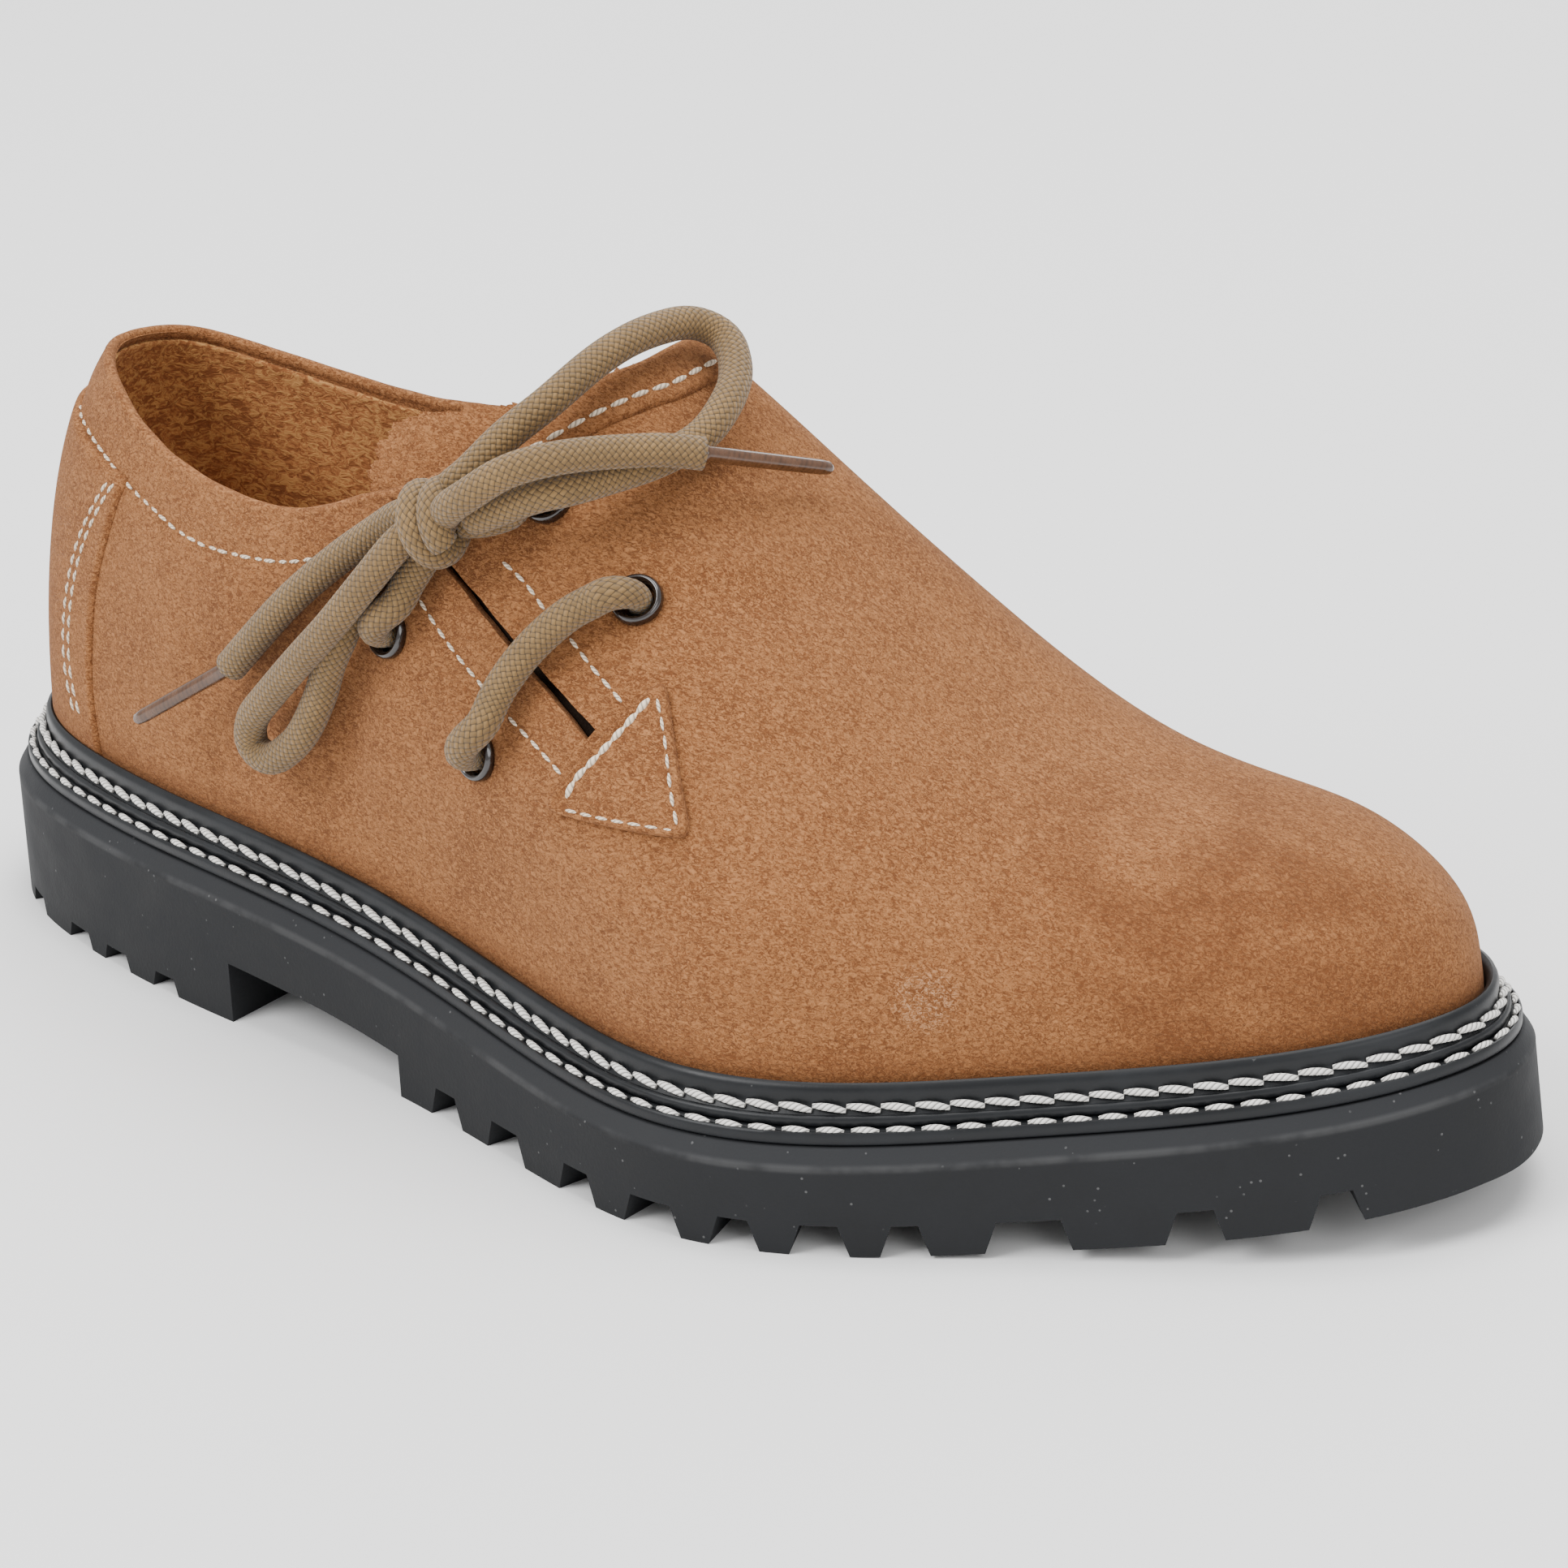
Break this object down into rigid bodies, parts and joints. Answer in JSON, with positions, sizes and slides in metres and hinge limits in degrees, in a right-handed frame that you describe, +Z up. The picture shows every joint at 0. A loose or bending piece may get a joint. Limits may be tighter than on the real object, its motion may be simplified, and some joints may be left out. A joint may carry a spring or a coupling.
{
  "type": "haferl shoe",
  "caption": "Low suede shoe laced on its outer side, with a welted, lugged rubber sole and a bowed round lace.",
  "frame": {"origin": "middle of the shoe's box without the free lace, on the floor", "axes": "+X to the toe, +Y to the inner side of the foot, +Z up"},
  "size_m": [0.3064, 0.1194, 0.1275],
  "materials": {
    "suede": "napped",
    "lining": "matte",
    "rubber": "matte",
    "welt": "satin",
    "eyelet": "glossy enamel",
    "lace": "matte",
    "aglet": "glossy"
  },
  "bodies": {
    "root": {"outsole": "rubber", "midsole": "welt", "storm_welt": "welt", "insole": "lining", "upper": "suede", "tongue": "suede", "heel_counter": "suede", "throat_band": "suede", "lace_patch": "suede", "eyelet_vamp_low": "eyelet", "eyelet_vamp_top": "eyelet", "eyelet_quarter_low": "eyelet", "eyelet_quarter_top": "eyelet", "lace_bar": "lace", "lace_strand_quarter": "lace", "lace_strand_vamp": "lace", "lace_knot": "lace", "lace_loop_back": "lace", "lace_loop_front": "lace", "lace_tail_back": "lace", "lace_tail_front": "lace", "aglet_back": "aglet", "aglet_front": "aglet"}
  },
  "joints": []
}
